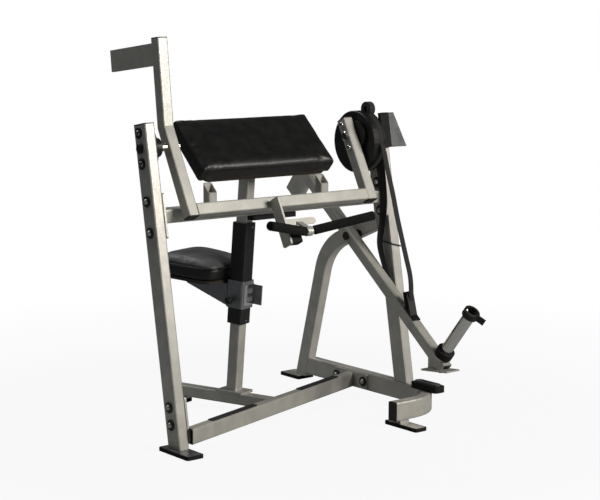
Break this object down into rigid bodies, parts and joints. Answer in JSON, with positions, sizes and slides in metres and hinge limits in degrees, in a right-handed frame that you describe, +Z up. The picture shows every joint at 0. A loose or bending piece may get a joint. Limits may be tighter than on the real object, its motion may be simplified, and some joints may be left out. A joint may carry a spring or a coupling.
{
  "type": "biceps curl machine",
  "caption": "Plate-loaded biceps curl machine: sloping arm pad, turning curl arm with an eccentric belt cam, weight lever with horn, and a height-adjustable seat on a leaning post.",
  "frame": {"origin": "floor level, under the middle of the machine's bounding box", "axes": "+X from the left post towards the weight-lever side, +Y from the front (handle side) towards the seat, +Z up"},
  "size_m": [1.293, 1.2704, 1.5142],
  "materials": {
    "silver_powder_coat": "satin powder coat",
    "black_powder_coat": "satin powder coat",
    "grey_steel_plate": "satin powder coat",
    "chrome_plated_steel": "polished",
    "black_plastic": "fine grain",
    "black_rubber": "matt",
    "grip_foam": "closed-cell foam",
    "black_vinyl": "grained upholstery vinyl",
    "plywood_board": "raw plywood",
    "black_webbing": "woven"
  },
  "bodies": {
    "root": {"left_post": "silver_powder_coat", "left_post_cap": "black_plastic", "left_foot_plate": "grey_steel_plate", "left_shoe": "black_rubber", "right_upright": "silver_powder_coat", "right_upright_cap": "black_plastic", "foot_bar": "silver_powder_coat", "left_grip_strip": "black_rubber", "right_grip_strip": "black_rubber", "rear_brace": "silver_powder_coat", "rear_shoe": "black_rubber", "base_rail": "silver_powder_coat", "front_shoe": "black_rubber", "front_stub_cap": "black_plastic", "bumper_block": "black_rubber", "bumper_plate": "grey_steel_plate", "upper_cross_tube": "silver_powder_coat", "arm_stop_pad": "black_rubber", "pad_board": "plywood_board", "arm_pad": "black_vinyl", "left_bearing": "black_powder_coat", "right_bearing": "black_powder_coat", "pivot_cap": "black_plastic", "limit_strap": "black_webbing", "guard_plate": "grey_steel_plate", "guard_buffer": "black_rubber", "lever_shaft": "chrome_plated_steel", "seat_rail": "silver_powder_coat", "seat_shoe": "black_rubber", "seat_post": "silver_powder_coat", "guide_sleeve": "black_plastic", "drive_belt": "black_webbing"},
    "curl_arm": {"arm_left_tube": "silver_powder_coat", "arm_cross_tube": "silver_powder_coat", "arm_right_tube": "silver_powder_coat", "arm_top_cap": "black_plastic", "arm_left_cap": "black_plastic", "arm_right_cap": "black_plastic", "arm_right_top_cap": "black_plastic", "counterweight_bar": "silver_powder_coat", "left_shaft": "chrome_plated_steel", "right_shaft": "chrome_plated_steel", "cam": "black_powder_coat", "cam_belt": "black_webbing", "handle_bracket": "grey_steel_plate", "stop_block": "black_rubber"},
    "handle": {"handle_bar": "chrome_plated_steel", "left_grip": "grip_foam", "right_grip": "grip_foam"},
    "weight_arm": {"lever_tube": "silver_powder_coat", "lever_counterweight": "silver_powder_coat", "weight_horn": "chrome_plated_steel", "horn_collar": "black_rubber", "belt_clamp": "black_powder_coat"},
    "horn_clip": {"horn_clip": "black_plastic"},
    "seat": {"seat_carriage": "grey_steel_plate", "latch_plate": "chrome_plated_steel", "seat_board": "plywood_board", "seat_cushion": "black_vinyl"},
    "pull_pin": {"pull_pin": "black_plastic"}
  },
  "joints": [
    {"name": "curl_turn", "type": "hinge", "parent": "root", "child": "curl_arm", "pos_m": [-0.0045, 0.04622, 1.108], "axis": [-1, 0, 0], "range_deg": [0, 125]},
    {"name": "handle_swivel", "type": "hinge", "parent": "curl_arm", "child": "handle", "pos_m": [-0.0425, -0.22078, 0.782], "axis": [1, 0, 0], "range_deg": [-30, 30]},
    {"name": "lever_turn", "type": "hinge", "parent": "root", "child": "weight_arm", "pos_m": [0.468, 0.13122, 0.684], "axis": [-1, 0, 0], "range_deg": [0, 41.25], "deforming": ["drive_belt"]},
    {"name": "clip_slide", "type": "slide", "parent": "weight_arm", "child": "horn_clip", "axis": [0, -0.6293, 0.7771], "range_m": [-0.16, 0.02]},
    {"name": "seat_slide", "type": "slide", "parent": "root", "child": "seat", "axis": [0.0245, -0.0745, 0.9969], "range_m": [-0.06, 0.22]},
    {"name": "pin_pull", "type": "slide", "parent": "seat", "child": "pull_pin", "axis": [-0.95, -0.3123, 0], "range_m": [0, 0.012], "stiffness_N_per_m": 700}
  ],
  "couplings": [
    {"joint": "lever_turn", "follows": "curl_turn", "ratio": 0.33}
  ]
}
